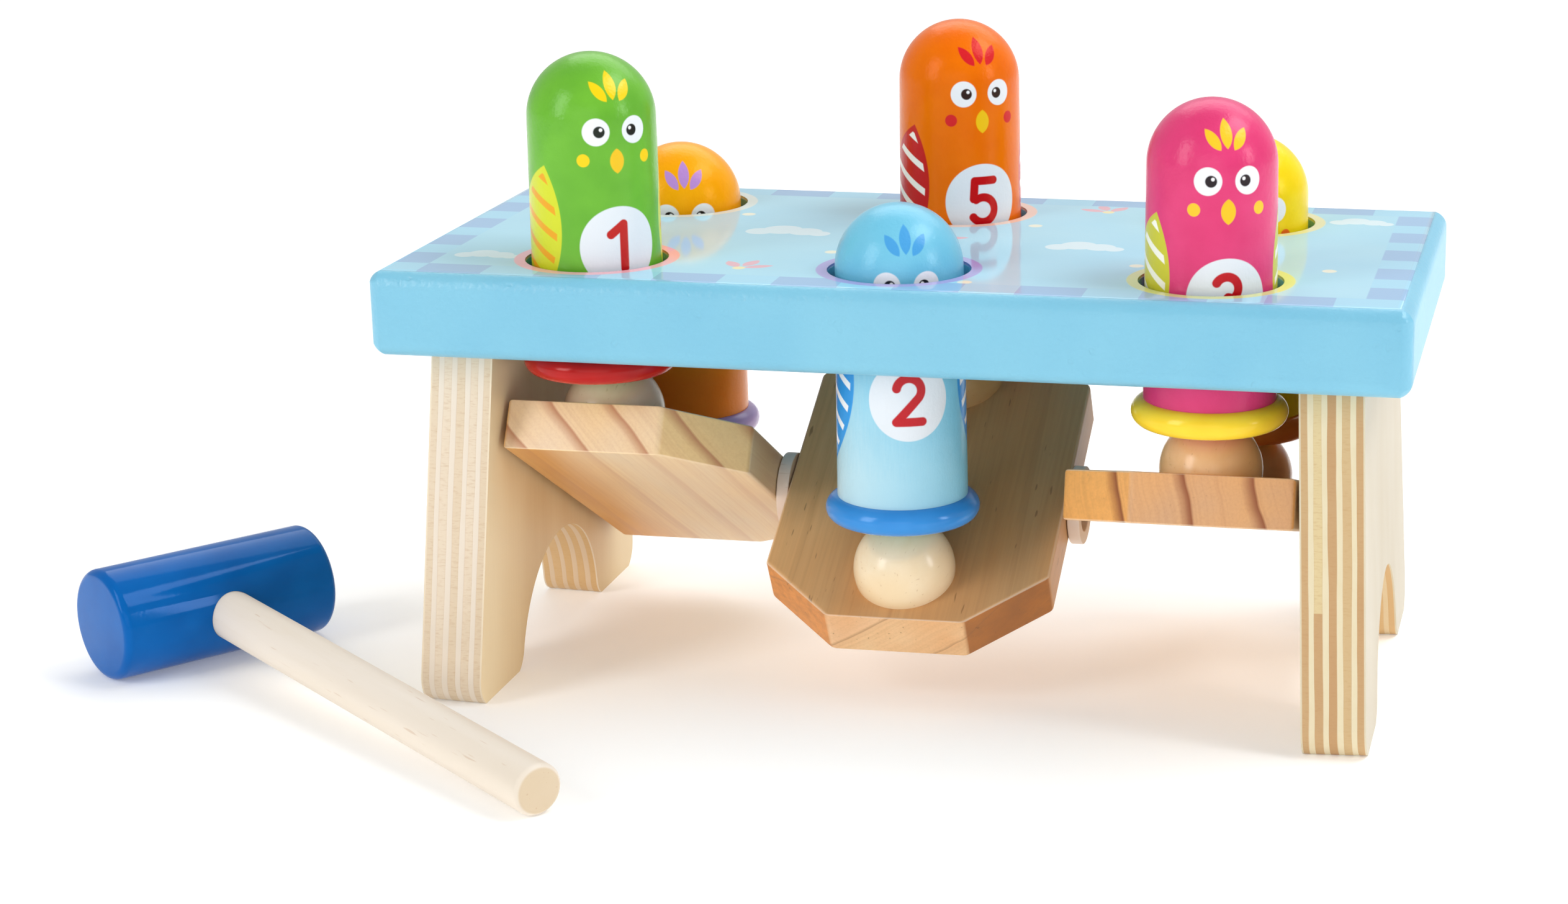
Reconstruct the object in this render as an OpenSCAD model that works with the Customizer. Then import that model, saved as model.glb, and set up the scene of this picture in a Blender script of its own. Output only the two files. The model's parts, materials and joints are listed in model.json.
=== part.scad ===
// Peg pounding bench: a drilled board on two splayed legs. Six pegs stand in its holes on three
// see-saw rockers, so that knocking one peg down lifts the other one of its pair. A hammer lies beside.
// X runs to the right, Y to the back and Z up. The origin is the middle of the set's footprint on the floor.

/* [Board] */
// Length of the board, left to right
board_l = 243; // [225:1:280]
// Width of the board, front to back
board_w = 118; // [112:1:140]
// Thickness of the board
board_t = 20.5; // [16:0.5:26]
// Height of the board's top above the floor
board_top = 106; // [100:1:125]
// Radius of the board's edges and corners
board_round = 4.2; // [1:0.1:6]

/* [Legs] */
// Thickness of the leg's plywood
leg_t = 15; // [12:0.5:18]
// How far the board reaches past the leg's top
leg_inset = 11.3; // [5:0.1:16]
// Outward lean of the leg, in degrees
leg_splay = 2.2; // [0:0.1:4]
// Width of the leg under the board
leg_top_w = 96; // [80:1:104]
// Width of the leg over its feet
foot_span = 118; // [108:0.2:126]
// Radius of the feet's lower corners
foot_round = 7; // [3:0.5:9]
// Width of the arch between the feet, as if these had no round corners
arch_w = 58.6; // [46:0.2:66]
// Height of the arch
arch_h = 27.4; // [15:0.2:32]
// Diameter of the hidden dowels that hold a leg
dowel_d = 8; // [6:0.5:9]
// Length of those dowels
dowel_l = 30; // [22:1:36]

/* [Pegs] */
// Widest diameter of a peg's body, just above its collar
peg_d = 31; // [28:0.5:34]
// Diameter of a peg under its domed top
peg_top_d = 30; // [26:0.5:31]
// Height of a peg with its collar
peg_h = 76; // [70:1:90]
// How far a peg travels between its two stops
peg_travel = 33.25; // [24:0.25:36]
// Room round a peg in its hole
peg_play = 1.35; // [0.8:0.05:2]
// How far the collar reaches past the hole
collar_lip = 1.45; // [1:0.05:3]
// Height of the collar
collar_h = 6.3; // [5:0.1:8]
// Diameter of the spigot that carries the collar
spigot_d = 22; // [16:0.5:25]
// Distance of each row of pegs from the middle
row_offset = 34.3; // [30:0.1:38]
// Room between an outer collar and the leg
collar_leg_gap = 3.7; // [2:0.1:8]

/* [Rockers] */
// Length of a rocker, front to back
rocker_l = 98.7; // [92:0.1:104]
// Thickness of a rocker
rocker_t = 12; // [11:0.5:14]
// Width of the middle rocker
rocker_mid_w = 69.7; // [60:0.1:76]
// Gap between two rockers
rocker_gap = 3.45; // [2:0.05:5]
// Width of a rocker's corner cut
cut_x = 18.3; // [10:0.1:22]
// Length of a rocker's corner cut
cut_y = 16; // [10:0.1:22]
// Upward tilt of the right rocker's front end at rest, in degrees
right_tilt = 17; // [-20:1:20]
// Diameter of the half-balls that push the pegs
ball_d = 24.4; // [20:0.2:28]
// Height of a half-ball above the rocker
ball_h = 13; // [11:0.1:15]
// Diameter of the axle
axle_d = 8; // [6:0.5:8.5]
// Depth of the axle's seat in each leg
axle_seat = 8; // [5:0.5:10]
// Outer diameter of the spacer rings on the axle
spacer_d = 19.3; // [16:0.1:24]
// Wall of a spacer ring
spacer_wall = 3.25; // [2:0.05:4]

/* [Hammer] */
// Diameter of the hammer's head
head_d = 27.8; // [24:0.2:36]
// Length of the hammer's head
head_l = 57.4; // [40:0.2:70]
// Radius of the head's edges
head_round = 2; // [0.5:0.1:4]
// Diameter of the handle
handle_d = 12.2; // [10:0.2:16]
// Length of the handle from the head's middle
handle_l = 148.2; // [110:0.2:180]
// Radius of the edge at the handle's end
handle_round = 1.5; // [0.5:0.1:4]
// Depth of the handle's seat in the head
handle_seat = 22; // [15:0.5:24]
// Distance of the head's middle from the board's left end
hammer_out = 57.8; // [50:0.1:90]
// Distance of the head's middle in front of the bench's middle
hammer_fore = 32.4; // [20:0.1:60]
// Turn of the hammer seen from above, in degrees
hammer_turn = 52.7; // [35:0.1:60]

/* [Hidden] */
$fn = 96;
// Overrun of every cut
overrun = 1;
// Glue room round a dowel, a spigot or a handle
glue_gap = 0.05;
// Room round the axle in a rocker
axle_play = 0.08;
// Room between a half-ball and the peg on it at rest
seat_gap = 0.45;
// Room between the collar of a raised peg and the board
stop_gap = 0.4;
// Room between an outer rocker and the leg
leg_gap = 0.4;
// Room on each side of a spacer ring
spacer_play = 0.2;
// Room between the axle and the ring that hangs on it
spacer_seat = 0.1;
// Radius of the board's corner balls as a share of its edge radius, a little over 1
corner_ball_share = 1.05;
// How far round the foot a leg's straight side runs on, in degrees
foot_lead = 3;
// How far a foot's inner corner runs into the arch, so that the two meet
arch_lap = 0.05;
// How much of a foot's round end the floor takes off, to give a flat sole
sole_cut = 0.3;
// How much of a half-ball's top is turned flatter
crown_cut = 1;
// Share of the board's thickness that a dowel enters
dowel_seat_share = 0.6;
// Spacing of a leg's dowels as a share of the leg's width
dowel_spacing_share = 0.5;

// Heights and places on the bench
underside = board_top - board_t;
leg_inner = board_l / 2 - leg_inset - leg_t;
crown_r = rocker_t / 2 + ball_h;
ball_z = crown_r + crown_cut - ball_d / 2;
pivot_z = underside - stop_gap - collar_h - seat_gap - crown_r - peg_travel / 2;
stop_tilt = asin(peg_travel / 2 / row_offset);
tilts = [stop_tilt, -stop_tilt, right_tilt];

// Peg, hole and collar
hole_d = peg_d + 2 * peg_play;
collar_d = hole_d + 2 * collar_lip;
hole_pitch = leg_inner - collar_leg_gap - collar_d / 2;

// Leg outline
leg_h = underside / cos(leg_splay);
leg_spare = overrun + leg_t * tan(leg_splay);
sole_trim = sole_cut + leg_t * tan(leg_splay);
foot_x = foot_span / 2 - foot_round;
foot_z = foot_round - sole_trim;
arch_r = (arch_w * arch_w / 4 + arch_h * arch_h) / (2 * arch_h);
arch_z = arch_h - arch_r;
heel_x = sqrt(pow(arch_r + foot_round - arch_lap, 2) - pow(foot_z - arch_z, 2));

// Rocker and axle
side_inner = rocker_mid_w / 2 + rocker_gap;
side_outer = leg_inner - leg_gap;
axle_end = leg_inner + (underside - pivot_z) * tan(leg_splay) + axle_seat;
spacer_bore = spacer_d - 2 * spacer_wall;
spacer_z = pivot_z + axle_d / 2 + spacer_seat - spacer_bore / 2;

// Hammer, and the middle of the whole set's footprint
handle_tilt = asin((head_d - handle_d) / 2 / handle_l);
hammer_x = -board_l / 2 - hammer_out;
hammer_left = hammer_x - head_l / 2 * cos(hammer_turn) - head_d / 2 * sin(hammer_turn);
hammer_front = -hammer_fore - handle_l * cos(handle_tilt) * cos(hammer_turn) - handle_d / 2 * sin(hammer_turn);
set_x = (hammer_left + board_l / 2) / 2;
set_y = (hammer_front + board_w / 2) / 2;

// Colours of the pegs and of their collars, front row first
peg_colours = ["limegreen", "skyblue", "hotpink", "orange", "darkorange", "gold"];
collar_colours = ["crimson", "royalblue", "gold", "plum", "mediumpurple", "tomato"];

// A peg's column from the left is -1, 0 or 1, and its row is -1 in front and 1 behind
function column(i) = (i - 1) % 3 - 1;
function row(i) = i < 4 ? -1 : 1;
function tilt(i) = tilts[column(i) + 1];
// Height of a peg's flat bottom at rest
function peg_z(i) = pivot_z - row(i) * row_offset * sin(tilt(i)) + crown_r + seat_gap;
// Point on the right side of a circle, just past where a line from p touches it
function touch(p, c, r) =
    let (d = p - c, a = atan2(d.y, d.x) - acos(r / norm(d)) - foot_lead)
    c + r * [cos(a), sin(a)];

// Shared shapes

// Brings what is drawn about the bench's own middle into the set's frame
module on_bench() {
    translate([-set_x, -set_y, 0]) children();
}

module rounded_rectangle(w, h, r) {
    square([w - 2 * r, h], center = true);
    square([w, h - 2 * r], center = true);
    for (x = [-1, 1], y = [-1, 1])
        translate([x * (w / 2 - r), y * (h / 2 - r)]) circle(r = r);
}

// A slab with round edges, centred. Where three edges meet, a ball takes off the peak that they leave
module rounded_slab(size, r) {
    difference() {
        intersection() {
            translate([0, 0, -size.z / 2]) linear_extrude(size.z) rounded_rectangle(size.x, size.y, r);
            rotate([90, 0, 0]) translate([0, 0, -size.y / 2])
                linear_extrude(size.y) rounded_rectangle(size.x, size.z, r);
            rotate([90, 0, 90]) translate([0, 0, -size.x / 2])
                linear_extrude(size.x) rounded_rectangle(size.y, size.z, r);
        }
        for (x = [-1, 1], y = [-1, 1], z = [-1, 1])
            translate([x * (size.x / 2 - r), y * (size.y / 2 - r), z * (size.z / 2 - r)])
                difference() {
                    translate([x, y, z] * (r + overrun) / 2) cube(r + overrun, center = true);
                    sphere(r = r * corner_ball_share);
                }
    }
}

// Half of a turned bar's section, from the axis out, with its edges rounded at the chosen end
module bar_section(r, l, round_start, round_end) {
    difference() {
        union() {
            translate([0, round_start]) square([r, l - round_start - round_end]);
            square([r - round_start, l / 2]);
            translate([0, l / 2]) square([r - round_end, l / 2]);
            translate([r - round_end, l - round_end]) circle(r = round_end);
            if (round_start > 0) translate([r - round_start, round_start]) circle(r = round_start);
        }
        translate([-r, -overrun]) square([r, l + 2 * overrun]);
    }
}

// Outline of a leg, from the floor up: straight sides, feet with round corners, and an arch
module leg_outline() {
    top = [leg_top_w / 2, leg_h];
    foot = [foot_x, foot_z];
    heel = [heel_x, foot_z];
    middle = [0, arch_z];
    side = touch(top, foot, foot_round);
    crest = top + (top - side) * leg_spare / (top.y - side.y);
    inside = middle + (heel - middle) * (arch_r - overrun) / norm(heel - middle);
    bottom = -sole_trim + sole_cut / 2;
    half = [crest, side, foot, [foot.x, bottom], [heel.x, bottom], heel, inside];
    last = len(half) - 1;
    difference() {
        union() {
            polygon(concat([for (p = half) [-p.x, p.y]], [for (i = [last:-1:0]) half[i]]));
            for (s = [-1, 1], corner = [foot, heel])
                translate([s * corner.x, corner.y]) circle(r = foot_round);
        }
        translate(middle) circle(r = arch_r);
    }
}

module leg_dowels(gap) {
    seat = board_t * dowel_seat_share;
    for (s = [-1, 1])
        translate([leg_inner + leg_t / 2, s * leg_top_w * dowel_spacing_share / 2, underside + seat - dowel_l - gap])
            cylinder(d = dowel_d + 2 * gap, h = dowel_l + 2 * gap);
}

module axle_bar(gap) {
    translate([-axle_end - gap, 0, pivot_z])
        rotate([0, 90, 0]) cylinder(d = axle_d + 2 * gap, h = 2 * (axle_end + gap));
}

module leg() {
    difference() {
        intersection() {
            translate([leg_inner, 0, underside])
                rotate([0, -leg_splay, 0])
                    translate([0, 0, -leg_h])
                        rotate([90, 0, 90]) linear_extrude(leg_t) leg_outline();
            translate([0, -board_w, 0]) cube([board_l, 2 * board_w, underside]);
        }
        leg_dowels(glue_gap);
        axle_bar(glue_gap);
    }
}

// Puts a shape that lies level about the pivot at the tilt of its rocker
module at_tilt(angle) {
    translate([0, 0, pivot_z]) rotate([-angle, 0, 0]) children();
}

module rocker_blank(points) {
    difference() {
        translate([0, 0, -rocker_t / 2]) linear_extrude(rocker_t) polygon(points);
        translate([-board_l / 2, 0, 0])
            rotate([0, 90, 0]) cylinder(d = axle_d + 2 * axle_play, h = board_l);
    }
}

module side_rocker() {
    end = rocker_l / 2;
    rocker_blank([
        [side_inner + cut_x, -end], [side_outer, -end], [side_outer, end],
        [side_inner + cut_x, end], [side_inner, end - cut_y], [side_inner, cut_y - end]
    ]);
}

module spacer(side) {
    width = rocker_gap - 2 * spacer_play;
    color("bisque") on_bench()
        translate([side * (rocker_mid_w + rocker_gap) / 2 - width / 2, 0, spacer_z])
            rotate([0, 90, 0]) difference() {
                cylinder(d = spacer_d, h = width);
                translate([0, 0, -overrun]) cylinder(d = spacer_bore, h = width + 2 * overrun);
            }
}

// Sub-parts

module board() {
    color("lightskyblue") on_bench() difference() {
        translate([0, 0, underside + board_t / 2])
            rounded_slab([board_l, board_w, board_t], board_round);
        for (x = [-1, 0, 1], y = [-1, 1])
            translate([x * hole_pitch, y * row_offset, underside - overrun])
                cylinder(d = hole_d, h = board_t + 2 * overrun);
        for (side = [0, 1]) mirror([side, 0, 0]) leg_dowels(glue_gap);
    }
}

module right_leg() {
    color("wheat") on_bench() leg();
}

module left_leg() {
    color("wheat") on_bench() mirror([1, 0, 0]) leg();
}

module right_leg_dowels() {
    color("burlywood") on_bench() leg_dowels(0);
}

module left_leg_dowels() {
    color("burlywood") on_bench() mirror([1, 0, 0]) leg_dowels(0);
}

module axle() {
    color("burlywood") on_bench() axle_bar(0);
}

module left_rocker() {
    color("sandybrown") on_bench() at_tilt(tilts[0]) mirror([1, 0, 0]) side_rocker();
}

module middle_rocker() {
    side = rocker_mid_w / 2;
    end = rocker_l / 2;
    color("tan") on_bench() at_tilt(tilts[1]) rocker_blank([
        [cut_x - side, -end], [side - cut_x, -end], [side, cut_y - end], [side, end - cut_y],
        [side - cut_x, end], [cut_x - side, end], [-side, end - cut_y], [-side, cut_y - end]
    ]);
}

module right_rocker() {
    color("sandybrown") on_bench() at_tilt(tilts[2]) side_rocker();
}

// A ball cut flat below, with a flatter crown on which the peg's bottom rolls
module half_ball(i) {
    color("peru") on_bench() at_tilt(tilt(i))
        translate([column(i) * hole_pitch, row(i) * row_offset, 0])
            intersection() {
                translate([0, 0, ball_z]) sphere(d = ball_d);
                sphere(r = crown_r);
                translate([-ball_d / 2, -ball_d / 2, rocker_t / 2]) cube([ball_d, ball_d, crown_r]);
            }
}

// A turned body with a domed top, on a spigot that enters the collar
module peg(i) {
    body_h = peg_h - collar_h - peg_top_d / 2;
    color(peg_colours[i - 1]) on_bench()
        translate([column(i) * hole_pitch, row(i) * row_offset, peg_z(i)]) {
            cylinder(d = spigot_d, h = collar_h + overrun);
            translate([0, 0, collar_h]) cylinder(d1 = peg_d, d2 = peg_top_d, h = body_h);
            translate([0, 0, collar_h + body_h]) sphere(d = peg_top_d);
        }
}

// A ring with a full round edge, which stops the peg under the board
module collar(i) {
    bore = spigot_d / 2 + glue_gap;
    edge = collar_h / 2;
    color(collar_colours[i - 1]) on_bench()
        translate([column(i) * hole_pitch, row(i) * row_offset, peg_z(i)])
            rotate_extrude() {
                translate([bore, 0]) square([collar_d / 2 - edge - bore, collar_h]);
                translate([collar_d / 2 - edge, edge]) circle(r = edge);
            }
}

module hammer_handle_bar(gap) {
    start = head_d / 2 - handle_seat;
    translate([0, gap - start, 0])
        rotate([90, 0, 0]) rotate_extrude()
            bar_section(handle_d / 2 + gap, handle_l - start + 2 * gap, 0, handle_round);
}

// Lays the hammer on the floor, on the side of its head and the end of its handle
module in_hammer_place() {
    on_bench()
        translate([hammer_x, -hammer_fore, head_d / 2])
            rotate([handle_tilt, 0, hammer_turn]) children();
}

module hammer_head() {
    color("mediumblue") in_hammer_place() difference() {
        translate([-head_l / 2, 0, 0])
            rotate([0, 90, 0]) rotate_extrude()
                bar_section(head_d / 2, head_l, head_round, head_round);
        hammer_handle_bar(glue_gap);
    }
}

module hammer_handle() {
    color("moccasin") in_hammer_place() hammer_handle_bar(0);
}

board();
left_leg();
right_leg();
left_leg_dowels();
right_leg_dowels();
axle();
left_rocker();
middle_rocker();
right_rocker();
spacer(-1);  // left_spacer
spacer(1);  // right_spacer
half_ball(1);  // half_ball_1
half_ball(2);  // half_ball_2
half_ball(3);  // half_ball_3
half_ball(4);  // half_ball_4
half_ball(5);  // half_ball_5
half_ball(6);  // half_ball_6
peg(1);  // peg_1
peg(2);  // peg_2
peg(3);  // peg_3
peg(4);  // peg_4
peg(5);  // peg_5
peg(6);  // peg_6
collar(1);  // collar_1
collar(2);  // collar_2
collar(3);  // collar_3
collar(4);  // collar_4
collar(5);  // collar_5
collar(6);  // collar_6
hammer_head();
hammer_handle();
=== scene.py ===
import json
import math

import bpy
from mathutils import Matrix, Vector

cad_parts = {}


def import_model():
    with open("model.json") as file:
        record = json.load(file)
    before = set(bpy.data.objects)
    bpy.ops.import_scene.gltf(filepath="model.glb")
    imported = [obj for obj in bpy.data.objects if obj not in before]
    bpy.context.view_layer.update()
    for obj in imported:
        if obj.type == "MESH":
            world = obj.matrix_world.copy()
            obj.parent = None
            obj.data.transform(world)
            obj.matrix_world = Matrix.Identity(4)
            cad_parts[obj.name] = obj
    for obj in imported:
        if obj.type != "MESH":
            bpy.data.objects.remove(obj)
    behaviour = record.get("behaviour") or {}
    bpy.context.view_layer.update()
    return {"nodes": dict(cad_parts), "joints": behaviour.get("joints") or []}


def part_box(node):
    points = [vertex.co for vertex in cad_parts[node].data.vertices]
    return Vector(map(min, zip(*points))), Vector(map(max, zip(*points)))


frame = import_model()
nodes = frame["nodes"]

MM = 0.001
PEGS = range(1, 7)
SIDES = {"left": -1, "right": 1}
AXIS_X, AXIS_Z = (1, 0, 0), (0, 0, 1)


# Places taken from the frame, in metres

def middle(node):
    low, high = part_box(node)
    return (low + high) / 2


board_low, board_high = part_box("board")
bench = (board_low + board_high) / 2
pivots = {j["child"]: Vector(j["pos_m"]) for j in frame["joints"] if j["type"] == "hinge"}


# Arithmetic on a material's values

PRINT_SOFT = 0.12
CLOUD_SPAN, GLOSS_SPAN = (0.3, 0.7), (-2.0, 4.0)
MIX_SHARE, MIX_FIRST, MIX_SECOND, MIX_RESULT = 0, 6, 7, 2


class Value:
    """A number that differs over a surface: arithmetic on it adds Math nodes to its material."""

    def __init__(self, shade, socket):
        self.shade = shade
        self.socket = socket

    def __add__(self, other):
        return self.shade.math("ADD", self, other)

    def __radd__(self, other):
        return self.shade.math("ADD", other, self)

    def __sub__(self, other):
        return self.shade.math("SUBTRACT", self, other)

    def __rsub__(self, other):
        return self.shade.math("SUBTRACT", other, self)

    def __mul__(self, other):
        return self.shade.math("MULTIPLY", self, other)

    def __truediv__(self, other):
        return self.shade.math("DIVIDE", self, other)

    def __neg__(self):
        return self.shade.math("MULTIPLY", self, -1.0)

    def __abs__(self):
        return self.shade.math("ABSOLUTE", self)


class Shade:
    """One material, with helpers that add nodes to it."""

    def __init__(self, name):
        self.material = bpy.data.materials.new(name)
        self.material.use_nodes = True
        self.tree = self.material.node_tree
        self.shader = self.tree.nodes["Principled BSDF"]

    def node(self, kind, **settings):
        made = self.tree.nodes.new(kind)
        for key, value in settings.items():
            setattr(made, key, value)
        return made

    def put(self, socket, value):
        if isinstance(value, Value):
            self.tree.links.new(value.socket, socket)
        else:
            socket.default_value = value

    def set(self, **values):
        for key, value in values.items():
            self.put(self.shader.inputs[key.replace("_", " ")], value)

    def math(self, operation, *values):
        made = self.node("ShaderNodeMath", operation=operation)
        for socket, value in zip(made.inputs, values):
            self.put(socket, value)
        return Value(self, made.outputs[0])

    def least(self, *values):
        result = values[0]
        for value in values[1:]:
            result = self.math("MINIMUM", result, value)
        return result

    def most(self, *values):
        result = values[0]
        for value in values[1:]:
            result = self.math("MAXIMUM", result, value)
        return result

    def length(self, a, b):
        return self.math("SQRT", a * a + b * b)

    def ramp(self, value, low, high):
        """0 below low, 1 above high, straight between them. High may lie below low."""
        made = self.node("ShaderNodeMapRange", clamp=True)
        for socket, number in zip(made.inputs, (value, low, high, 0.0, 1.0)):
            self.put(socket, number)
        return Value(self, made.outputs[0])

    def inside(self, distance, soft=PRINT_SOFT):
        """1 where a distance is negative, with an edge that is soft over some millimetres."""
        return self.ramp(distance, soft, -soft)

    def mix(self, share, first, second):
        made = self.node("ShaderNodeMix", data_type="RGBA")
        self.put(made.inputs[MIX_SHARE], share)
        self.put(made.inputs[MIX_FIRST], first)
        self.put(made.inputs[MIX_SECOND], second)
        return Value(self, made.outputs[MIX_RESULT])

    def between(self, share, first, second):
        return first + share * (second - first)

    def lay(self, base, distance, code, strength=1.0, soft=PRINT_SOFT):
        """A base colour with a print of another colour over it, where a distance is negative."""
        return self.mix(self.inside(distance, soft) * strength, base, rgb(code))

    def place(self, origin):
        """x, y and z in millimetres from a point of the frame, fixed to the piece."""
        split = self.node("ShaderNodeSeparateXYZ")
        self.tree.links.new(self.node("ShaderNodeTexCoord").outputs["Object"], split.inputs[0])
        return [(Value(self, s) - o) * (1 / MM) for s, o in zip(split.outputs, origin)]

    def facing(self):
        """The way that the surface faces, as x, y and z."""
        split = self.node("ShaderNodeSeparateXYZ")
        self.tree.links.new(self.node("ShaderNodeTexCoord").outputs["Normal"], split.inputs[0])
        return [Value(self, socket) for socket in split.outputs]

    def noise(self, x, y, z, *, detail, roughness=0.5, warp=0.0, scale=1.0):
        """Noise from 0 to 1. Factors on x, y and z set how fine it is along each of them."""
        place = self.node("ShaderNodeCombineXYZ")
        for socket, value in zip(place.inputs, (x, y, z)):
            self.put(socket, value)
        made = self.node("ShaderNodeTexNoise")
        self.tree.links.new(place.outputs[0], made.inputs["Vector"])
        settings = {"Scale": scale, "Detail": detail, "Roughness": roughness, "Distortion": warp}
        for key, value in settings.items():
            self.put(made.inputs[key], value)
        return Value(self, made.outputs[0])

    def bump(self, height, strength, depth):
        made = self.node("ShaderNodeBump")
        self.put(made.inputs["Height"], height)
        self.put(made.inputs["Strength"], strength)
        self.put(made.inputs["Distance"], depth)
        self.tree.links.new(made.outputs[0], self.shader.inputs["Normal"])


def rgb(code):
    """A colour from its usual hex code, in the linear values that a shader takes."""
    parts = [int(code[i:i + 2], 16) / 255 for i in (1, 3, 5)]
    return (*[p / 12.92 if p <= 0.04045 else ((p + 0.055) / 1.055) ** 2.4 for p in parts], 1.0)


def lacquer(code, share):
    """The tint of a coloured lacquer's reflections.

    It is white, drawn by a share towards a colour at its brightest."""
    parts = rgb(code)[:3]
    return (*[1 - share + share * p / max(parts) for p in parts], 1.0)


# Distances to flat shapes in millimetres, negative inside

def disc(s, u, v, x, y, r):
    return s.length(u - x, v - y) - r


def line(s, u, v, x0, y0, x1, y1):
    du, dv = x1 - x0, y1 - y0
    share = s.ramp((u - x0) * du + (v - y0) * dv, 0.0, du * du + dv * dv)
    return s.length(u - x0 - share * du, v - y0 - share * dv)


def arc(s, u, v, x, y, r, start, end):
    """Distance to an arc that runs from start to end, in degrees, against the clock."""
    turn = math.radians((start + end) / 2)
    half = math.radians((end - start) / 2)
    du, dv = u - x, v - y
    along = du * math.cos(turn) + dv * math.sin(turn)
    across = abs(dv * math.cos(turn) - du * math.sin(turn))
    on_ring = abs(s.length(du, dv) - r)
    to_end = s.length(along - r * math.cos(half), across - r * math.sin(half))
    past = s.math("GREATER_THAN", across * math.cos(half) - along * math.sin(half), 0.0)
    return s.between(past, on_ring, to_end)


def leaf(s, u, v, x, y, angle, half_l, half_w):
    """A pointed leaf, the shape that two equal discs share."""
    turn = math.radians(angle)
    du, dv = u - x, v - y
    along = du * math.cos(turn) + dv * math.sin(turn)
    across = abs(dv * math.cos(turn) - du * math.sin(turn))
    r = (half_l * half_l + half_w * half_w) / (2 * half_w)
    return s.length(along, across + (r - half_w)) - r


# The numbers as strokes, in millimetres from their middle

STROKES = {
    1: [(line, -2.2, 2.9, 0.9, 5.2), (line, 0.9, 5.2, 0.9, -5.2)],
    2: [(arc, 0.0, 2.3, 2.9, -40, 170), (line, 2.22, 0.44, -3.0, -5.2), (line, -3.0, -5.2, 3.1, -5.2)],
    3: [(arc, -0.2, 2.5, 2.7, -80, 150), (arc, -0.2, -2.4, 2.9, -150, 85)],
    4: [(line, 1.3, 5.2, -3.2, -1.8), (line, -3.2, -1.8, 3.4, -1.8), (line, 1.5, 1.6, 1.5, -5.2)],
    5: [(line, 2.8, 5.2, -2.2, 5.2), (line, -2.2, 5.2, -2.5, 0.7), (arc, -0.1, -2.1, 3.1, -145, 125)],
    6: [(arc, 0.0, -2.1, 3.1, -180, 180), (arc, 5.2, -1.5, 8.3, 122, 182)],
}
STROKE_HALF = 1.05


# Smooth shading and worn edges on the solids

SMOOTH_ANGLE, BEVEL_ANGLE = math.radians(40), math.radians(35)
BEVEL_STEPS = 3
MERGE = 0.005 * MM


def smooth_group():
    group = bpy.data.node_groups.new("smooth_by_angle", "GeometryNodeTree")
    for way in ("INPUT", "OUTPUT"):
        group.interface.new_socket("Geometry", in_out=way, socket_type="NodeSocketGeometry")
    add = group.nodes.new
    start, end = add("NodeGroupInput"), add("NodeGroupOutput")
    faces, edges = add("GeometryNodeSetShadeSmooth"), add("GeometryNodeSetShadeSmooth")
    edges.domain = "EDGE"
    edges.inputs["Shade Smooth"].default_value = False
    angle, sharp = add("GeometryNodeInputMeshEdgeAngle"), add("FunctionNodeCompare")
    sharp.inputs[1].default_value = SMOOTH_ANGLE
    link = group.links.new
    link(angle.outputs[0], sharp.inputs[0])
    link(sharp.outputs[0], edges.inputs["Selection"])
    link(start.outputs[0], faces.inputs[0])
    link(faces.outputs[0], edges.inputs[0])
    link(edges.outputs[0], end.inputs[0])
    return group


SMOOTH = smooth_group()


def dress(node, material, edge=0.0, flats=False):
    """Gives a solid its material, rounds its edges by a radius in millimetres and shades it smooth.

    Flats shades the flat faces evenly also where no edge is rounded."""
    piece = nodes[node]
    piece.data.materials.clear()
    piece.data.materials.append(material)
    piece.modifiers.new("weld", "WELD").merge_threshold = MERGE
    if edge:
        bevel = piece.modifiers.new("worn_edges", "BEVEL")
        bevel.width = edge * MM
        bevel.segments = BEVEL_STEPS
        bevel.limit_method = "ANGLE"
        bevel.angle_limit = BEVEL_ANGLE
        bevel.use_clamp_overlap = True
    piece.modifiers.new("smooth", "NODES").node_group = SMOOTH
    if edge or flats:
        piece.modifiers.new("flat_faces", "WEIGHTED_NORMAL").keep_sharp = True


# Wood

def tilt_of(front, back):
    """Tilt of a rocker from its two half-balls, positive with the front end up."""
    step = middle(back) - middle(front)
    return math.atan2(-step.z, step.y)


# The pale tint of the rounded edges stands for bare wear and a painted highlight.
PORE, FLECK, BARE_AND_SHEEN, END_GRAIN = "#b98a58", "#7a5230", "#f8e8ce", "#d2b184"
FACE_SPAN, CUT_SPAN = (8.0, 24.0), (20.0, 36.0)
PINES = {
    "left": dict(lean=42, period=11.3, first=16.0, band=1.3, depth=0.8, flecks=0.06,
                 left="#f6d9b6", right="#f3d4ac", near="#dca05a", flank="#ead4b2",
                 cut="#ffd48e", far="#f0c88c", late="#b8704a"),
    "middle": dict(lean=-56, period=15.0, first=26.0, band=0.35, depth=0.5, flecks=0.55,
                   left="#f0cba0", right="#eec797", near="#e6bc86", flank="#cba475",
                   cut="#dd8c3c", far="#94500c", late="#8f5f38"),
    "right": dict(lean=12, period=16.2, first=15.7, band=1.5, depth=0.95, flecks=0.15,
                  left="#fdb254", right="#d4a47a", near="#eac596", flank="#eac596",
                  cut="#f4af61", far="#e6a862", late="#8e4a28"),
}


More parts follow.
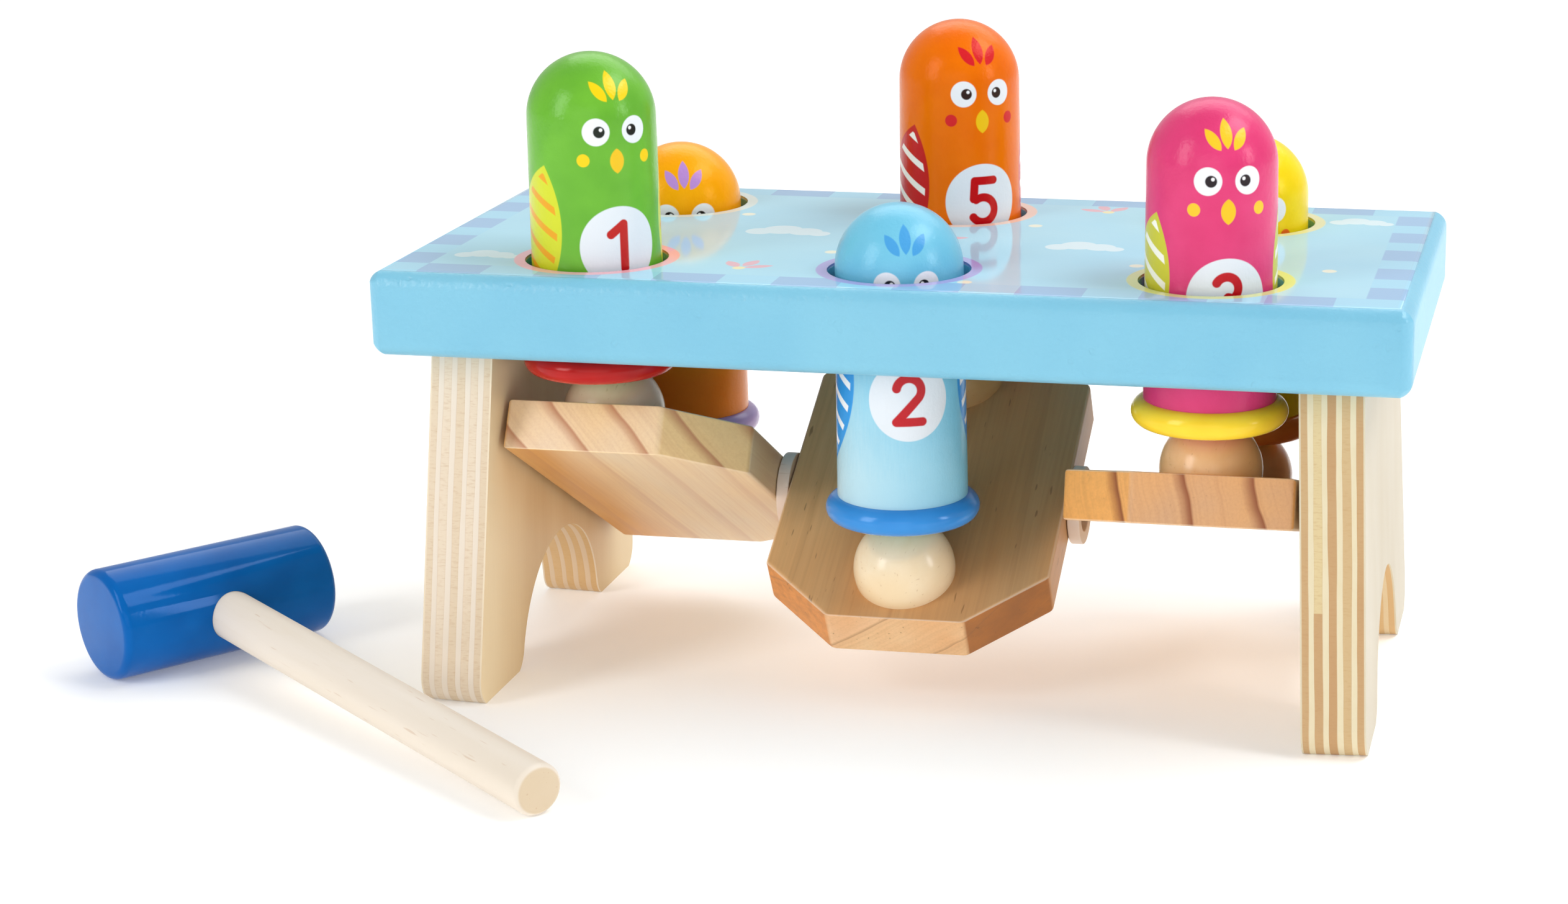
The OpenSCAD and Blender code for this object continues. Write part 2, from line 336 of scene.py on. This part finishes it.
def pine(name, rocker, tilt, lean, period, first, band, depth, flecks,
         left, right, near, flank, cut, far, late):
    """Pine whose growth rings run along the rocker, and cross its ends at a lean from upright.

    The first ring lies that far from the rocker's left side, and each ring has a dark band. Left and right
    colour the ends beside that ring, near and flank the long faces, and cut and far the sawn corners.
    On the left rocker near is darker beside the leg and flank paler: partly painted shade and painted
    bounce light. On the middle rocker the darker flank is partly painted shade under the board. The rounded
    edges
    are paler: wear, and a painted highlight."""
    s = Shade(name)
    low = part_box(rocker)[0]
    x, y, z = s.place((low.x, pivots[rocker].y, pivots[rocker].z))
    along = y * math.cos(tilt) - z * math.sin(tilt)
    up = y * math.sin(tilt) + z * math.cos(tilt)
    ways = s.facing()
    end_way = abs(ways[1] * math.cos(tilt) - ways[2] * math.sin(tilt))
    up_way = abs(ways[1] * math.sin(tilt) + ways[2] * math.cos(tilt))
    end_grain = s.ramp(end_way, 0.2, 0.5)
    sawn = end_grain * s.ramp(end_way, 0.95, 0.8)
    # Bevel strips between faces, which are paler: wear and a painted highlight.
    wear_and_sheen = s.ramp(up_way, 0.15, 0.5) * s.ramp(up_way, 0.97, 0.8)
    sway = s.noise(x * 0.03, along * 0.007, up * 0.06, detail=2.0) - 0.5
    turn = math.radians(lean)
    ring = (x - first) * math.cos(turn) + up * math.sin(turn) + sway * (0.3 * period)
    off = (s.math("FRACT", ring / period + 0.5) - 0.5) * period
    dark = s.ramp(off, -2.0 * band, 0.0) * s.ramp(off, 0.4 * band, 0.0)
    season = s.noise(s.math("ROUND", ring / period) * 3.7, 0.0, 0.0, detail=0.0)
    dark = dark * s.ramp(season, 0.1, 0.5) * s.between(end_grain, 0.35, 1.0)
    fine = s.noise(ring * 1.3, along * 0.01, 0.0, detail=2.0)
    fibre = s.noise(x * 1.6, along * 0.04, up * 1.6, detail=4.0, roughness=0.6)
    dashes = s.noise(x * 1.1, along * 0.14, up * 1.1, detail=1.0)
    tone = s.noise(x * 0.06, along * 0.015, up * 0.06, detail=2.0)
    colour = s.mix(s.ramp(ring, -1.2, 1.2), rgb(left), rgb(right))
    colour = s.mix(sawn * 0.9, colour, s.mix(s.ramp(x, *CUT_SPAN), rgb(cut), rgb(far)))
    # Long faces from near to flank: on the left and middle rockers partly painted shade and painted bounce
    # light.
    colour = s.mix(end_grain, s.mix(s.ramp(x, *FACE_SPAN), rgb(near), rgb(flank)), colour)
    colour = s.mix(s.ramp(tone, 0.35, 0.75) * 0.45, colour, rgb(cut))
    colour = s.mix(s.ramp(fine, 0.45, 0.75) * s.between(end_grain, 0.12, 0.14), colour, rgb(late))
    mottle = s.noise(x * 0.28, along * 0.28, up * 0.4, detail=3.0, roughness=0.6)
    colour = s.mix(s.ramp(mottle, 0.42, 0.72) * sawn * (0.7 * flecks), colour, rgb(late))
    colour = s.mix(dark * depth, colour, rgb(late))
    colour = s.mix(s.ramp(fibre, 0.42, 0.8) * 0.15, colour, rgb(late))
    colour = s.mix(s.ramp(dashes, 0.72, 0.77) * flecks, colour, rgb(FLECK))
    # Paler rounded edges: wear and a painted highlight.
    colour = s.mix(wear_and_sheen * 0.45, colour, rgb(BARE_AND_SHEEN))
    s.set(Base_Color=colour, Roughness=s.between(dark, 0.44, 0.36), Specular_IOR_Level=0.35)
    s.bump(dark * 0.5 + fibre, strength=0.2, depth=0.06 * MM)
    return s.material


PLY, PLY_STEP, PLY_TAN = 15.0, 3.27, 1.92
SPLAY = math.radians(2.2)
VENEER = 0.4
ARCH_SPAN, LIT_RIM_SPAN, STREAK_SPAN = (40.0, 30.0), (22.0, 50.0), (0.45, 0.8)
# arch and rim hold painted light: warm bounce light in the arched opening, and a paler tint towards the
# faces' edges
PLYWOODS = {
    "left": dict(tan="#e7d7c1", deep="#ddc8aa", cream="#e8dbca", face="#e6cb9d", stain="#d7b37c",
                 arch_bounce="#d6a862", rim="#f6e4be",
                 tones=(0.8, 0.3, 0.7, 0.2, 0.6), joint=(1, -62.0, 0.5)),
    "right": dict(tan="#dac596", deep="#c0976a", cream="#e2d5b4", face="#c9bfac", stain="#bdae92",
                  arch_bounce="#dcb680", rim="#cdc3b0",
                  tones=(0.75, 0.0, 0.95, 0.5, 0.85), joint=(1, -51.5, 0.85)),
}


def plywood(name, leg, side, tan, deep, cream, face, stain, arch_bounce, rim, tones, joint):
    """Birch plywood: pale faces with faint upright streaks, and edges where tan and cream plies take turns.

    Arch is a yellower tint on the edges inside the arched opening: painted warm bounce light, where those
    edges lie in shade. Rim is a paler tint on the faces towards their front and back edges: painted light.
    Tones holds each tan ply's depth of colour from the inside out. Joint gives the ply that is
    butted from two lengths, the height of the butt from the leg's top in millimetres, and the tone
    below it."""
    s = Shade(name)
    low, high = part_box(leg)
    inner = low.x if side > 0 else high.x
    x, y, z = s.place((inner, bench.y, high.z))
    depth = x * (side * math.cos(SPLAY)) + z * math.sin(SPLAY)
    wave = s.noise(y * 0.04, z * 0.035, depth * 0.4, detail=2.0) - 0.5
    layer = s.least(s.most(depth + wave * 0.9, 0.1), PLY - 0.1) / PLY_STEP
    ply = s.math("FLOOR", layer)
    within = s.math("FRACT", layer) * PLY_STEP
    is_tan = s.ramp(within, PLY_TAN + 0.08, PLY_TAN - 0.08)
    seam = s.ramp(s.least(within, abs(within - PLY_TAN)), 0.16, 0.02)
    butted, butt, below = joint
    tone = s.math("COMPARE", ply, butted, 0.5) * s.ramp(z, butt + 0.1, butt - 0.1) * (below - tones[butted])
    for number, share in enumerate(tones):
        tone = tone + s.math("COMPARE", ply, number, 0.5) * share
    ticks = s.noise(depth * 0.5, z * 2.4, y * 0.9, detail=3.0, roughness=0.6)
    streaks = s.noise(y * 1.2, z * 0.03, depth * 0.3 + ply * 3.1, detail=4.0, roughness=0.6)
    patch = s.noise(ply * 5.3, z * 0.03, y * 0.02, detail=2.0)
    cloud = s.noise(y * 0.05, z * 0.02, ply * 1.7, detail=2.0)
    dark = s.mix(tone + (patch - 0.5) * 0.5, rgb(tan), rgb(deep))
    dark = s.mix(s.ramp(ticks, 0.5, 0.72) * 0.3, dark, rgb(PORE))
    pale = s.mix(s.ramp(streaks, *STREAK_SPAN) * 0.3, rgb(cream), rgb(tan))
    edge = s.mix(is_tan, pale, dark)
    edge = s.mix(seam * 0.15, edge, rgb(PORE))
    across = abs(s.facing()[0])
    # Painted warm bounce light: a yellower tint on the edges inside the arched opening, which lie in shade.
    arch_bounce_mask = s.ramp(abs(y), *ARCH_SPAN) * s.ramp(across, 0.5, 0.3)
    edge = s.mix(arch_bounce_mask * s.between(is_tan, 0.45, 0.7), edge, rgb(arch_bounce))
    plain = s.mix(s.ramp(cloud, *CLOUD_SPAN) * 0.6, rgb(face), rgb(stain))
    plain = s.mix(s.ramp(streaks, *STREAK_SPAN) * 0.3, plain, rgb(stain))
    # Faces paler towards their front and back edges: painted light.
    plain = s.mix(s.ramp(abs(y), *LIT_RIM_SPAN) * 0.6, plain, rgb(rim))
    # Cream where a face turns into its rounded edge: partly the pale outer veneer, partly a painted
    # highlight.
    plain = s.mix(s.ramp(across, 0.97, 0.85) * 0.6, plain, rgb(cream))
    on_face = s.ramp(abs(depth - PLY / 2), PLY / 2 - VENEER - 0.05, PLY / 2 - VENEER + 0.05)
    s.set(Base_Color=s.mix(on_face, edge, plain))
    s.set(Roughness=s.between(on_face, 0.6, 0.45), Specular_IOR_Level=0.3)
    s.bump(streaks * 0.5 + (seam * -0.6 - ticks * is_tan) * (1.0 - on_face), strength=0.25, depth=0.09 * MM)
    return s.material


GRAIN_SHORT = 0.92


def turned_wood(name, node, grain, light, dark, roughness, end=END_GRAIN):
    """Plain fine-grained wood, with its grain drawn out along a direction."""
    s = Shade(name)
    spot = s.place(middle(node))
    way = Vector(grain).normalized()
    along = spot[0] * way.x + spot[1] * way.y + spot[2] * way.z
    px, py, pz = [p - along * (GRAIN_SHORT * w) for p, w in zip(spot, way)]
    lines = s.noise(px * 0.6, py * 0.6, pz * 0.6, detail=4.0, roughness=0.62, warp=0.4)
    dashes = s.noise(px * 1.3, py * 1.3, pz * 1.3, detail=1.0)
    cloud = s.noise(px * 0.07, py * 0.07, pz * 0.07, detail=2.0)
    colour = s.mix(s.ramp(cloud, *CLOUD_SPAN), rgb(light), rgb(dark))
    colour = s.mix(s.ramp(lines, 0.45, 0.75) * 0.4, colour, rgb(dark))
    ways = s.facing()
    end_way = abs(ways[0] * way.x + ways[1] * way.y + ways[2] * way.z)
    colour = s.mix(s.ramp(end_way, 0.8, 0.95) * 0.7, colour, rgb(end))
    colour = s.mix(s.ramp(dashes, 0.7, 0.76) * 0.3, colour, rgb(PORE))
    s.set(Base_Color=colour, Roughness=roughness, Specular_IOR_Level=0.45)
    s.bump(lines, strength=0.12, depth=0.05 * MM)
    return s.material


# Paint

PAINT_GLOSS = 0.35


def paint(name, node, colour, shade, roughness, peel, tint, gloss=PAINT_GLOSS):
    """Sprayed gloss paint over turned wood: slight clouds and a fine ripple, with tinted reflections."""
    s = Shade(name)
    x, y, z = s.place(middle(node))
    cloud = s.noise(x * 0.09, y * 0.09, z * 0.09, detail=2.0)
    s.set(Base_Color=s.mix(s.ramp(cloud, *CLOUD_SPAN), rgb(colour), rgb(shade)))
    s.set(Roughness=s.ramp(cloud, *GLOSS_SPAN) * (2.0 * roughness) + roughness * 0.2)
    s.set(Specular_IOR_Level=gloss, Specular_Tint=lacquer(colour, tint))
    s.bump(s.noise(x, y, z, detail=2.0, scale=peel), strength=0.2, depth=0.06 * MM)
    return s.material


# The birds on the pegs, in millimetres up from a peg's bottom and round from the middle of its face

PEG_LOOKS = {
    1: dict(coat="#70b935", shade="#62aa2f", hem="#4c9a22", turn=40, wing="#d3d92a",
            mark="#eaa417", crest="#f7cf10", tint=0.3),
    # peg 2's pale lower colour is faded paint and a painted sheen
    2: dict(coat="#78c6e2", shade="#6cbedc", hem="#a9dcec", turn=20, wing="#2a97e0",
            mark="#f4f7fa", crest="#4aa0dc", tint=0.3, wear_and_sheen="#b6dae6", fade=58.0),
    3: dict(coat="#e0417a", shade="#d7366f", hem="#d81e6a", turn=22, wing="#cfc936",
            mark="#fbf7e6", crest="#f8c62a", tint=0.3),
    4: dict(coat="#fdae10", shade="#f9a408", hem="#ea8a06", turn=20, wing="#b184cf",
            mark="#fbf0c0", crest="#bb8cd6", tint=0.85, low="#f58a30"),
    5: dict(coat="#ee7404", shade="#e86a02", hem="#d85a02", turn=34, wing="#c81e22",
            mark="#fbf3ea", crest="#d3202a", tint=0.75),
    6: dict(coat="#f7dc14", shade="#f2d00c", hem="#e8b80a", turn=15, wing="#ee7a1c",
            mark="#fbf7e6", crest="#ef6a1e", tint=0.7),
}
FIELD, NUMBER, BEAK = "#e3e8ee", "#c00814", "#f0c21c"
EYE, PUPIL, GLINT = "#ebeef2", "#17191c", "#f6f7f9"
EYE_Z, EYE_OUT, EYE_R = 59.5, 4.7, 3.2
PUPIL_IN, PUPIL_R = 0.7, 1.35
GLINT_IN, GLINT_UP, GLINT_R = 1.1, 0.5, 0.4
BEAK_Z, BEAK_L, BEAK_W = 52.6, 2.9, 1.7
CHEEK_OUT, CHEEK_UP, CHEEK_R = 3.2, 0.4, 1.5
FIELD_Z, FIELD_R, NUMBER_UP = 32.4, 9.6, 0.2
WING_OUT, WING_Z, WING_LEAN, WING_L, WING_W = 23.5, 32.0, 105, 20.0, 9.0
STRIPE_STEP, STRIPE_HALF, STRIPE_LEAN, STRIPE_IN = 6.0, 0.9, 0.5, 1.3
CREST_Z, CREST_OUT, CREST_LEAN, CREST_L, CREST_W = 68.5, 3.1, 55, 2.7, 1.25
PLUME_UP, PLUME_L, PLUME_W = 1.2, 3.1, 1.35
HEM, HEM_WAVE = 2.2, 0.8
LOW_SPAN = (36.0, 16.0)
# The sideways span makes peg 2's pale lower body fade from left to right: painted sheen.
WORN_WAVE, WORN_END, LIT_SIDE_SPAN = 14.0, 20.0, (22.0, -13.0)
PEG_ROUGH, PEG_PEEL = 0.58, 0.9


def peg_print(i):
    """Gloss paint over turned wood, with a bird whose middle is turned from the front by some degrees."""
    look = PEG_LOOKS[i]
    s = Shade(f"peg_{i}_print")
    low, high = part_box(f"peg_{i}")
    axis = (low + high) / 2
    x, y, v = s.place((axis.x, axis.y, low.z))
    turn = math.radians(look["turn"])
    right = x * math.cos(turn) + y * math.sin(turn)
    ahead = x * math.sin(turn) - y * math.cos(turn)
    u = s.math("ARCTAN2", right, ahead) * s.length(x, y)
    side = abs(u)
    cloud = s.noise(x * 0.09, y * 0.09, v * 0.09, detail=2.0)
    grain = s.noise(x * 2.4, y * 2.4, v * 0.22, detail=3.0, roughness=0.6)
    colour = s.mix(s.ramp(cloud, *CLOUD_SPAN), rgb(look["coat"]), rgb(look["shade"]))
    if "low" in look:
        colour = s.mix(s.ramp(v, *LOW_SPAN), colour, rgb(look["low"]))
    # Peg 2's lower body: faded paint, paler towards the left side as a painted sheen.
    if "wear_and_sheen" in look:
        wear_and_sheen = s.ramp(v + grain * WORN_WAVE, look["fade"], WORN_END)
        colour = s.mix(wear_and_sheen * s.ramp(u, *LIT_SIDE_SPAN), colour, rgb(look["wear_and_sheen"]))
    wing = leaf(s, side, v, WING_OUT, WING_Z, WING_LEAN, WING_L, WING_W)
    colour = s.lay(colour, wing, look["wing"])
    phase = s.math("FRACT", (v - side * STRIPE_LEAN) / STRIPE_STEP) * STRIPE_STEP
    stripe = abs(phase - STRIPE_STEP / 2) - STRIPE_HALF
    colour = s.lay(colour, s.most(stripe, wing + STRIPE_IN), look["mark"])
    colour = s.lay(colour, disc(s, u, v, 0.0, FIELD_Z, FIELD_R), FIELD)
    strokes = [shape(s, u, v - FIELD_Z - NUMBER_UP, *sizes) for shape, *sizes in STROKES[i]]
    colour = s.lay(colour, s.least(*strokes) - STROKE_HALF, NUMBER)
    colour = s.lay(colour, disc(s, side, v, EYE_OUT, EYE_Z, EYE_R), EYE)
    colour = s.lay(colour, disc(s, side, v, EYE_OUT - PUPIL_IN, EYE_Z, PUPIL_R), PUPIL)
    colour = s.lay(colour, disc(s, side, v, EYE_OUT - GLINT_IN, EYE_Z + GLINT_UP, GLINT_R), GLINT)
    colour = s.lay(colour, disc(s, side, v, EYE_OUT + CHEEK_OUT, BEAK_Z + CHEEK_UP, CHEEK_R), look["crest"])
    colour = s.lay(colour, leaf(s, u, v, 0.0, BEAK_Z, 90, BEAK_L, BEAK_W), BEAK)
    crest = leaf(s, side, v, CREST_OUT, CREST_Z, CREST_LEAN, CREST_L, CREST_W)
    colour = s.lay(colour, crest, look["crest"])
    colour = s.lay(colour, leaf(s, u, v, 0.0, CREST_Z + PLUME_UP, 90, PLUME_L, PLUME_W), look["crest"])
    colour = s.lay(colour, v - HEM - grain * HEM_WAVE, look["hem"])
    s.set(Base_Color=colour, Roughness=s.ramp(cloud, *GLOSS_SPAN) * PEG_ROUGH)
    s.set(Specular_IOR_Level=PAINT_GLOSS, Specular_Tint=lacquer(look["coat"], look["tint"]))
    peel = s.noise(x, y, v, detail=2.0, scale=PEG_PEEL)
    s.bump(grain * 0.3 + peel, strength=0.45, depth=0.17 * MM)
    return s.material


# The board: satin sides with an orange-peel skin, and a glossy printed top

BOARD_SIDE, BOARD_TOP = ("#7fc2db", "#76bbd7"), ("#a9dcee", "#9fd6ec")
BOARD_SOFT, BORDER_SOFT, BAND_SOFT = 0.18, 0.15, 0.1
PUFF, SPRIG, BUD, DOT = ("#dff0f4", 0.8), ("#e9a3ae", 0.85), ("#f4e3a2", 0.9), ("#f6f0cf", 0.8)
CLOUDS = ((-37, 3, 1.0), (38, -3, 0.9), (-100, -36, 0.75), (101, 38, 0.75))
PUFFS = ((-6.5, -1.0, 3.6), (-1.5, 1.6, 5.0), (4.6, 0.2, 4.2), (8.6, -1.6, 2.7))
SPRIGS = ((0, 0, 20), (-73, 1, 160), (73, -1, 30), (-37, -40, 75), (37, 40, 110))
SPRIG_LEAVES = ((-48, 4.6), (0, 5.6), (48, 4.6))
LEAF_L, LEAF_W, BUD_R = 3.6, 1.5, 1.5
DOTS = ((-52, 22), (-20, -19), (22, 20), (54, -22), (-16, 44), (18, -46), (-100, 20), (99, -20))
DOT_R, RING_R = 1.7, 19.4
BORDER, PRINT_EDGE, PRINT_SPAN = 11.6, 3.0, (-0.8, -0.5)
BORDER_PALE, BORDER_DARK = "#9fd7ef", "#93bbe0"
LONG_STEP, LONG_DARK, SHORT_STEP, SHORT_DARK = 28.25, 15.5, 20.8, 11.6
RING_COLOURS = {1: "#efb0bc", 2: "#a9a3dd", 3: "#d3dd92", 4: "#d3e3de", 5: "#ebc8b6", 6: "#dfdfa8"}


def stripes(s, along, half, step, dark):
    """1 on the dark stripes of a run between two corners, the first of which starts it."""
    phase = s.math("FRACT", (along + half) / step) * step
    return s.ramp(s.least(phase, dark - phase, half - abs(along)), -BAND_SOFT, BAND_SOFT)


def board_print():
    """Clouds, sprigs and dots inside a striped border, and a coloured ring round each hole.

    The print ends a little inside the board's rim and lies only on its top."""
    s = Shade("board_print")
    half_l = (board_high.x - board_low.x) / 2 / MM
    half_w = (board_high.y - board_low.y) / 2 / MM
    u, v, z = s.place((bench.x, bench.y, board_high.z))
    rim = s.most(abs(u) - half_l, abs(v) - half_w)
    top = s.inside(rim + PRINT_EDGE) * s.ramp(z, *PRINT_SPAN)
    cloud = s.noise(u * 0.03, v * 0.03, z * 0.03, detail=2.0)
    side = s.mix(s.ramp(cloud, *CLOUD_SPAN), *map(rgb, BOARD_SIDE))
    colour = s.mix(s.ramp(cloud, *CLOUD_SPAN), *map(rgb, BOARD_TOP))
    for x, y, size in CLOUDS:
        puffs = [disc(s, u, v, x + size * a, y + size * b, size * r) for a, b, r in PUFFS]
        colour = s.lay(colour, s.least(*puffs), *PUFF, BOARD_SOFT)
    for x, y, turn in SPRIGS:
        leaves = []
        for spread, reach in SPRIG_LEAVES:
            angle = math.radians(turn + spread)
            tip = (x + reach * math.cos(angle), y + reach * math.sin(angle))
            leaves.append(leaf(s, u, v, *tip, turn + spread, LEAF_L, LEAF_W))
        colour = s.lay(colour, s.least(*leaves), *SPRIG, BOARD_SOFT)
        colour = s.lay(colour, disc(s, u, v, x, y, BUD_R), *BUD, BOARD_SOFT)
    for x, y in DOTS:
        colour = s.lay(colour, disc(s, u, v, x, y, DOT_R), *DOT, BOARD_SOFT)
    long_edge = abs(v) - (half_w - BORDER)
    short_edge = abs(u) - (half_l - BORDER)
    on_long = s.math("GREATER_THAN", long_edge, 0.0)
    band = s.between(on_long, stripes(s, v, half_w - BORDER, SHORT_STEP, SHORT_DARK),
                     stripes(s, u, half_l - BORDER, LONG_STEP, LONG_DARK))
    border = s.inside(-s.most(long_edge, short_edge), BORDER_SOFT)
    colour = s.mix(border, colour, s.mix(band, rgb(BORDER_PALE), rgb(BORDER_DARK)))
    for i in PEGS:
        hole = middle(f"peg_{i}")
        place = ((hole.x - bench.x) / MM, (hole.y - bench.y) / MM)
        colour = s.lay(colour, disc(s, u, v, *place, RING_R), RING_COLOURS[i], soft=BOARD_SOFT)
    peel = s.noise(u, v, z, detail=2.0, scale=0.7)
    dents = s.ramp(s.noise(u, v, z, detail=1.0, scale=0.3), 0.72, 0.8)
    s.set(Base_Color=s.mix(top, side, colour))
    s.set(Roughness=s.between(top, 0.34, 0.08), Specular_IOR_Level=0.5)
    s.bump((peel - dents * 0.6) * s.between(top, 1.0, 0.03), strength=0.7, depth=0.28 * MM)
    return s.material


# Dress the solids, with edges rounded in millimetres

LEG_EDGE, ROCKER_EDGE, ROD_EDGE = 1.5, 0.9, 0.3
BEECH, SPACER_WOOD = ("#e3c79d", "#cda673"), ("#fbeee4", "#f0dccb")
HANDLE_WOOD, HANDLE_END = ("#eee4d8", "#e5d8c6"), "#d6bd96"
HAMMER_BLUE = ("#0a62b0", "#085aa6")
COLLARS = {1: ("#bc1d1a", "#aa1515"), 2: ("#3f93dd", "#3388d4"), 3: ("#fdd93c", "#f9cd2e"),
           4: ("#c4aede", "#b79fd6"), 5: ("#8f6ab8", "#8159ac"), 6: ("#f2863a", "#ea7a2c")}
BALLS = {1: ("#f6e0c8", "#eccdae"), 2: ("#f8e6c6", "#f0d6ac"), 3: ("#f0ca98", "#e4b67e"),
         4: ("#dfb98e", "#d2a676"), 5: ("#e2bd8a", "#d4a870"), 6: ("#e0b27c", "#d09a60")}
BALL_GRAIN = (0.2, 1, 0.4)

dress("board", board_print(), flats=True)
for name, side in SIDES.items():
    leg, spacer, dowels = f"{name}_leg", f"{name}_spacer", f"{name}_leg_dowels"
    dress(leg, plywood(f"{leg}_birch", leg, side, **PLYWOODS[name]), LEG_EDGE)
    dress(spacer, turned_wood(f"{spacer}_wood", spacer, AXIS_X, *SPACER_WOOD, roughness=0.5), ROD_EDGE)
    dress(dowels, turned_wood(f"{name}_dowel_beech", dowels, AXIS_Z, *BEECH, roughness=0.55), ROD_EDGE)
dress("axle", turned_wood("axle_beech", "axle", AXIS_X, *BEECH, roughness=0.55), ROD_EDGE)

for n, (name, look) in enumerate(PINES.items(), 1):
    rocker = f"{name}_rocker"
    tilt = tilt_of(f"half_ball_{n}", f"half_ball_{n + 3}")
    dress(rocker, pine(f"{rocker}_pine", rocker, tilt, **look), ROCKER_EDGE)

for i in PEGS:
    collar, ball = f"collar_{i}", f"half_ball_{i}"
    dress(f"peg_{i}", peg_print(i))
    dress(collar, paint(f"{collar}_paint", collar, *COLLARS[i], roughness=0.16, peel=0.5, tint=0.4))
    dress(ball, turned_wood(f"{ball}_wood", ball, BALL_GRAIN, *BALLS[i], roughness=0.23, end=BALLS[i][1]))

dress("hammer_head", paint("hammer_head_paint", "hammer_head", *HAMMER_BLUE,
                           roughness=0.09, peel=0.9, tint=0.65, gloss=0.2))
handle_way = middle("hammer_handle") - middle("hammer_head")
dress("hammer_handle", turned_wood("hammer_handle_beech", "hammer_handle", handle_way, *HANDLE_WOOD,
                                   roughness=0.5, end=HANDLE_END))


# Floor, light and camera

FLOOR_HALF = 4.0
LIGHTS = {
    "overhead": dict(at=(0.85, 0.12, 1.29), size=(0.95, 0.65), power=11.0),
    "left": dict(at=(-1.08, -1.16, 0.72), size=(0.55, 1.1), power=11.0),
    "right": dict(at=(1.4, -0.33, 0.48), size=(0.26, 0.55), power=4.2),
    "front": dict(at=(0.1, -2.0, 0.45), size=(1.8, 0.8), power=5.0),
    "back": dict(at=(0.0, 1.5, 1.7), size=(2.6, 1.4), power=18.0),
}
AIM = Vector((bench.x, bench.y, 0.06))
WHITE = (1.0, 1.0, 1.0, 1.0)
WORLD_SPAN, WORLD_FRONT, WORLD_BACK = (-0.3, 0.7), 0.36, 0.62
FLOOR_GLOW, FLOOR_TONES = 0.18, ("#fbfbfa", "#fdfdfc")


def floor():
    mesh = bpy.data.meshes.new("floor")
    h = FLOOR_HALF
    mesh.from_pydata([(-h, -h, 0), (h, -h, 0), (h, h, 0), (-h, h, 0)], [], [(0, 1, 2, 3)])
    piece = bpy.data.objects.new("floor", mesh)
    bpy.context.scene.collection.objects.link(piece)
    s = Shade("floor_paper")
    x, y, z = s.place((0, 0, 0))
    cloud = s.noise(x * 0.002, y * 0.002, z, detail=2.0)
    s.set(Base_Color=s.mix(cloud, *map(rgb, FLOOR_TONES)), Roughness=0.8)
    s.set(Emission_Color=WHITE, Emission_Strength=FLOOR_GLOW)
    mesh.materials.append(s.material)


def light(name, at, size, power):
    lamp = bpy.data.lights.new(name, "AREA")
    lamp.shape = "RECTANGLE"
    lamp.size, lamp.size_y = size
    lamp.energy = power
    piece = bpy.data.objects.new(name, lamp)
    piece.location = AIM + Vector(at)
    piece.rotation_euler = (AIM - piece.location).to_track_quat("-Z", "Y").to_euler()
    bpy.context.scene.collection.objects.link(piece)


def world():
    made = bpy.data.worlds.new("studio")
    made.use_nodes = True
    tree = made.node_tree
    sky = tree.nodes["Background"]
    sky.inputs["Color"].default_value = WHITE
    split = tree.nodes.new("ShaderNodeSeparateXYZ")
    tree.links.new(tree.nodes.new("ShaderNodeTexCoord").outputs["Generated"], split.inputs[0])
    fade = tree.nodes.new("ShaderNodeMapRange")
    for socket, number in zip(fade.inputs[1:5], (*WORLD_SPAN, WORLD_FRONT, WORLD_BACK)):
        socket.default_value = number
    tree.links.new(split.outputs[1], fade.inputs[0])
    tree.links.new(fade.outputs[0], sky.inputs["Strength"])
    bpy.context.scene.world = made


FRAME_W, FOCAL_PX = 2526, 5099.8
SENSOR, SHIFT = 36.0, -0.2
AZIMUTH, ELEVATION, ROLL = math.radians(9.638), math.radians(15.583), math.radians(0.062)
DISTANCE = 0.77691
TARGET = Vector((bench.x + 0.04107, bench.y, 0.0542))


def camera():
    lens = bpy.data.cameras.new("camera")
    lens.sensor_width = SENSOR
    lens.lens = FOCAL_PX / FRAME_W * SENSOR
    lens.shift_x = SHIFT
    back = Vector((math.sin(AZIMUTH) * math.cos(ELEVATION),
                   -math.cos(AZIMUTH) * math.cos(ELEVATION), math.sin(ELEVATION)))
    right = (-back).cross(Vector((0, 0, 1))).normalized()
    up = right.cross(-back)
    across = right * math.cos(ROLL) + up * math.sin(ROLL)
    upward = up * math.cos(ROLL) - right * math.sin(ROLL)
    piece = bpy.data.objects.new("camera", lens)
    turn = Matrix((across, upward, back)).transposed().to_4x4()
    piece.matrix_world = Matrix.Translation(TARGET + back * DISTANCE) @ turn
    bpy.context.scene.collection.objects.link(piece)
    bpy.context.scene.camera = piece


floor()
for name, facts in LIGHTS.items():
    light(name, **facts)
world()
camera()
bpy.context.scene.view_settings.view_transform = "Standard"
